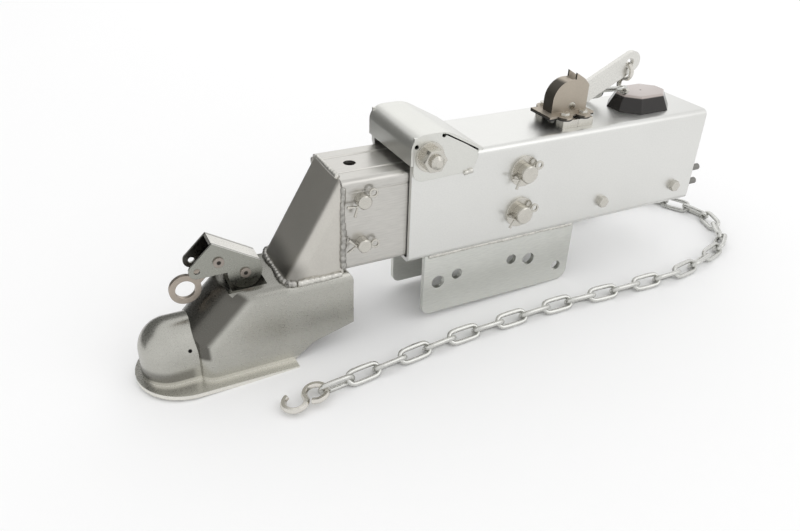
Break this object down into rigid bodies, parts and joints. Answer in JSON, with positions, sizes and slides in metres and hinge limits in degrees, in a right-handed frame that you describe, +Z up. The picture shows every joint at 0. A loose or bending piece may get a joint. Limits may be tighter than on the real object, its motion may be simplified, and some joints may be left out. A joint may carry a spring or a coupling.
{
  "type": "trailer brake actuator",
  "caption": "Trailer surge brake actuator: a ball coupler on a sliding tube that runs in a square case, with a master cylinder, breakaway lever and chain.",
  "frame": {"origin": "on the axis of the front tongue bolt, midway between the two tongue plates", "axes": "+X back to the trailer, along the slide; +Y to the right, along the tongue bolts; +Z up"},
  "size_m": [0.8568, 0.229, 0.3102],
  "materials": {
    "case_zinc": "bright galvanised",
    "slide_zinc": "bright brushed zinc",
    "plate_zinc": "blue-grey zinc",
    "guard_zinc": "satin zinc",
    "coupler_plated": "dull plated, stained at the welds",
    "latch_plated": "satin plated",
    "rivet_steel": "plain copper-grey",
    "nickel_fastener": "warm nickel plate",
    "roller_steel": "turned",
    "bar_steel": "plain",
    "casting": "as cast",
    "piston_alloy": "turned",
    "fitting_steel": "matte grey",
    "cap_rubber": "glossy dark brown",
    "bracket_steel": "warm matte",
    "gasket_rubber": "black",
    "lever_zinc": "pale speckled zinc",
    "hook_nickel": "glossy nickel",
    "chain_zinc": "bright zinc"
  },
  "bodies": {
    "case": {"outer_case": "case_zinc", "tongue_plate_left": "plate_zinc", "tongue_plate_right": "plate_zinc", "roller_guard": "guard_zinc", "guard_bolt": "nickel_fastener", "guard_nut": "nickel_fastener", "guard_washers": "nickel_fastener", "roller_pin": "nickel_fastener", "damper_pin_rear": "nickel_fastener", "pin_washers": "nickel_fastener", "case_cotters": "nickel_fastener", "master_cylinder": "casting", "line_fitting": "fitting_steel", "bleed_screw": "fitting_steel", "cylinder_bolts": "nickel_fastener", "cylinder_nuts": "nickel_fastener", "damper_tube": "bar_steel", "filler_cap": "cap_rubber", "lever_bracket": "bracket_steel", "lever_gasket": "gasket_rubber", "weld_nuts": "nickel_fastener", "bracket_screws": "nickel_fastener", "lever_pivot_pin": "nickel_fastener", "breakaway_chain": "chain_zinc", "chain_hook": "hook_nickel"},
    "slide": {"slide_tube": "slide_zinc", "neck": "coupler_plated", "coupler_shell": "coupler_plated", "push_bar_pin": "nickel_fastener", "damper_pin_front": "nickel_fastener", "slide_cotters": "nickel_fastener", "push_bar": "bar_steel", "trip_pin": "bar_steel", "push_rod": "bar_steel", "jam_nut": "bar_steel", "piston": "piston_alloy", "damper_rod": "bar_steel", "latch_stem": "coupler_plated", "stem_nut": "coupler_plated", "clamp_pin": "coupler_plated"},
    "front_roller": {"front_roller": "roller_steel"},
    "rear_rollers": {"rear_roller_left": "roller_steel", "rear_roller_right": "roller_steel"},
    "emergency_lever": {"emergency_lever": "lever_zinc", "lever_hook": "hook_nickel"},
    "latch": {"latch_lever": "latch_plated", "latch_rivets": "rivet_steel"},
    "trigger": {"trigger_ring": "latch_plated"},
    "ball_clamp": {"ball_clamp": "coupler_plated"}
  },
  "joints": [
    {"name": "slide_travel", "type": "slide", "parent": "case", "child": "slide", "axis": [1, 0, 0], "range_m": [0, 0.036], "stiffness_N_per_m": 4000, "springref_m": -0.05},
    {"name": "front_roller_turn", "type": "hinge", "parent": "case", "child": "front_roller", "pos_m": [-0.027, 0, 0.1735], "axis": [0, 1, 0], "range_deg": [-126, 2]},
    {"name": "rear_rollers_turn", "type": "hinge", "parent": "case", "child": "rear_rollers", "pos_m": [0.104, 0, 0.1331], "axis": [0, 1, 0], "range_deg": [-2, 109]},
    {"name": "lever_pull", "type": "hinge", "parent": "case", "child": "emergency_lever", "pos_m": [0.191, -0.008, 0.19], "axis": [0, -1, 0], "range_deg": [0, 40], "deforming": ["breakaway_chain"]},
    {"name": "latch_lift", "type": "hinge", "parent": "slide", "child": "latch", "pos_m": [-0.229, 0, 0.055], "axis": [0, 1, 0], "range_deg": [0, 60]},
    {"name": "trigger_pull", "type": "hinge", "parent": "latch", "child": "trigger", "pos_m": [-0.257, 0, 0.0744], "axis": [0, 1, 0], "range_deg": [0, 20], "stiffness_Nm_per_rad": 0.5, "springref_deg": -17.19},
    {"name": "clamp_drop", "type": "hinge", "parent": "slide", "child": "ball_clamp", "pos_m": [-0.205, 0, -0.03], "axis": [0, -1, 0], "range_deg": [-0.5, 9.5]}
  ],
  "couplings": [
    {"joint": "front_roller_turn", "follows": "slide_travel", "rad_per_m": -60.241},
    {"joint": "rear_rollers_turn", "follows": "slide_travel", "rad_per_m": 52.083},
    {"joint": "clamp_drop", "follows": "latch_lift", "ratio": 0.13}
  ]
}
